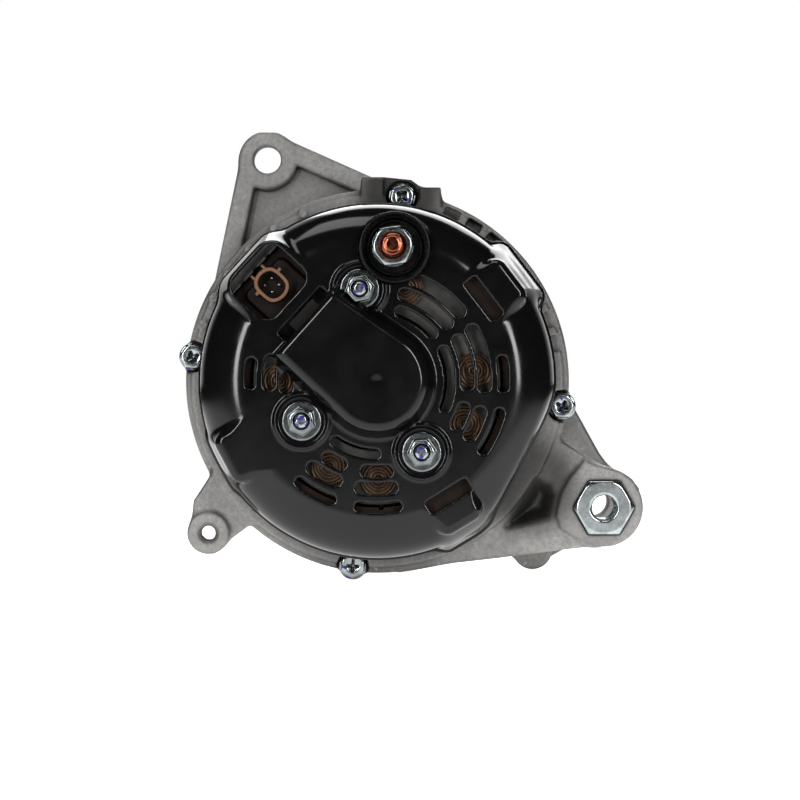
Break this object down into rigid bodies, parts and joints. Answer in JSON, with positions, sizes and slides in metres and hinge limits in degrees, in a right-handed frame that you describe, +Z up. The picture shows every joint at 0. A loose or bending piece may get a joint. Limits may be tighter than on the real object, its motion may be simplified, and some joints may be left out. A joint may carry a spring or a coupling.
{
  "type": "car alternator",
  "caption": "Car alternator with claw pole rotor, hairpin stator, vented aluminium housings, rectifier, brushes, ribbed pulley and black rear cover.",
  "frame": {"origin": "on the shaft axis, in the plane of the front faces of the mounting ears", "axes": "+Y along the shaft towards the pulley, +Z up as the alternator stands in the picture, +X to the right seen from the rear cover"},
  "size_m": [0.1658, 0.183, 0.1648],
  "materials": {
    "cast_aluminium": "sand-textured die casting",
    "black_paint": "gloss black paint over pressed sheet",
    "lamination_steel": "varnished steel laminations",
    "varnished_copper": "enamelled copper bars",
    "zinc_steel": "zinc plate",
    "plain_steel": "plain steel plate",
    "bearing_steel": "ground bearing steel",
    "bearing_seal": "nitrile seal",
    "natural_plastic": "natural nylon",
    "sink_aluminium": "plain aluminium plate",
    "diode_copper": "copper-washed cup",
    "brown_plastic": "glass-filled moulding",
    "dark_steel": "oiled steel",
    "stud_copper": "copper-plated stud",
    "black_plastic": "black moulding",
    "connector_plastic": "light brown moulding",
    "tinned_pins": "tin plate",
    "spring_steel": "drawn spring wire",
    "carbon": "copper-graphite",
    "shaft_steel": "ground steel",
    "pole_iron": "forged iron, blacked",
    "field_copper": "enamelled copper wire",
    "fan_steel": "pressed steel",
    "ring_copper": "polished copper",
    "pulley_paint": "black e-coat",
    "bearing_balls": "polished balls",
    "cage_brass": "pressed brass"
  },
  "bodies": {
    "housing": {"front_housing": "cast_aluminium", "rear_housing": "cast_aluminium", "rear_cover": "black_paint", "stator_core": "lamination_steel", "stator_winding": "varnished_copper", "stator_leads": "varnished_copper", "through_bolts": "zinc_steel", "bearing_retainer": "plain_steel", "retainer_screws": "zinc_steel", "front_bearing_outer": "bearing_steel", "front_bearing_shields": "bearing_seal", "rear_bearing_outer": "bearing_steel", "rear_bearing_shields": "bearing_seal", "rear_bearing_sleeve": "natural_plastic", "negative_heat_sink": "sink_aluminium", "positive_heat_sink": "sink_aluminium", "negative_diodes": "diode_copper", "positive_diodes": "diode_copper", "terminal_block": "brown_plastic", "insulating_bushes": "brown_plastic", "rectifier_studs": "dark_steel", "cover_nuts": "zinc_steel", "b_terminal_stud": "stud_copper", "b_terminal_washer": "zinc_steel", "b_terminal_nut": "zinc_steel", "b_terminal_insulator": "black_plastic", "regulator": "connector_plastic", "connector_pins": "tinned_pins", "regulator_fin": "sink_aluminium", "brush_holder": "brown_plastic", "slip_ring_cover": "black_plastic", "brush_spring_1": "spring_steel", "brush_spring_2": "spring_steel"},
    "rotor": {"rotor_shaft": "shaft_steel", "front_claw_pole": "pole_iron", "rear_claw_pole": "pole_iron", "coil_bobbin": "natural_plastic", "field_coil": "field_copper", "front_fan": "fan_steel", "rear_fan": "fan_steel", "slip_rings": "ring_copper", "slip_ring_sleeve": "black_plastic", "front_bearing_inner": "bearing_steel", "rear_bearing_inner": "bearing_steel", "bearing_spacer": "shaft_steel", "pulley_spacer": "shaft_steel", "pulley": "pulley_paint", "pulley_nut": "zinc_steel"},
    "front_cage": {"front_bearing_balls": "bearing_balls", "front_bearing_cage": "cage_brass"},
    "rear_cage": {"rear_bearing_balls": "bearing_balls", "rear_bearing_cage": "cage_brass"},
    "brush_1": {"brush_1": "carbon"},
    "brush_2": {"brush_2": "carbon"},
    "mount_bush": {"mount_bush": "zinc_steel"}
  },
  "joints": [
    {"name": "rotor_spin", "type": "hinge", "parent": "housing", "child": "rotor", "pos_m": [0, 0, 0], "axis": [0, 1, 0], "continuous": true},
    {"name": "front_cage_spin", "type": "hinge", "parent": "housing", "child": "front_cage", "pos_m": [0, -0.011, 0], "axis": [0, 1, 0], "continuous": true},
    {"name": "rear_cage_spin", "type": "hinge", "parent": "housing", "child": "rear_cage", "pos_m": [0, -0.0935, 0], "axis": [0, 1, 0], "continuous": true},
    {"name": "brush_1_slide", "type": "slide", "parent": "housing", "child": "brush_1", "axis": [-0.7373, 0, 0.6756], "range_m": [0, 0.0045], "stiffness_N_per_m": 50, "springref_m": -0.02, "deforming": ["brush_spring_1"]},
    {"name": "brush_2_slide", "type": "slide", "parent": "housing", "child": "brush_2", "axis": [-0.7373, 0, 0.6756], "range_m": [0, 0.0045], "stiffness_N_per_m": 50, "springref_m": -0.02, "deforming": ["brush_spring_2"]},
    {"name": "mount_bush_slide", "type": "slide", "parent": "housing", "child": "mount_bush", "axis": [0, 1, 0], "range_m": [0, 0.002]}
  ],
  "couplings": [
    {"joint": "front_cage_spin", "follows": "rotor_spin", "ratio": 0.364},
    {"joint": "rear_cage_spin", "follows": "rotor_spin", "ratio": 0.38}
  ]
}
